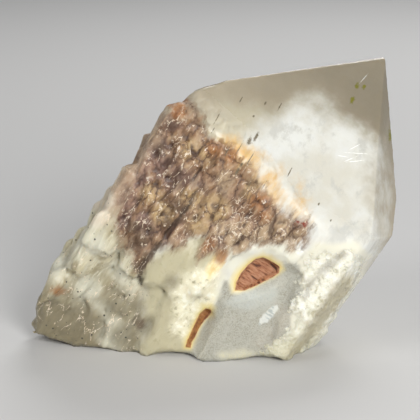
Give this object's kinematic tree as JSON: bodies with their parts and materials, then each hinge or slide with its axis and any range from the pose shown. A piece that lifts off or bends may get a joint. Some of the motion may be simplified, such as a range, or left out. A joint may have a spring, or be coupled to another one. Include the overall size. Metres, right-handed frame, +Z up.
{
  "type": "candle quartz",
  "caption": "Leaning milky quartz point overgrown by small parallel points, with a rust-stained stair, a break with two rusty pits, and a flat broken foot.",
  "frame": {"origin": "on the surface that the stone rests on, under the middle of its bounding box", "axes": "+Z up, +X towards the side that the big point leans to, -Y towards the front with the iron-stained stair"},
  "size_m": [0.0602, 0.038, 0.0461],
  "materials": {
    "milky_quartz": "gloss"
  },
  "bodies": {
    "root": {"candle_quartz": "milky_quartz"}
  },
  "joints": []
}
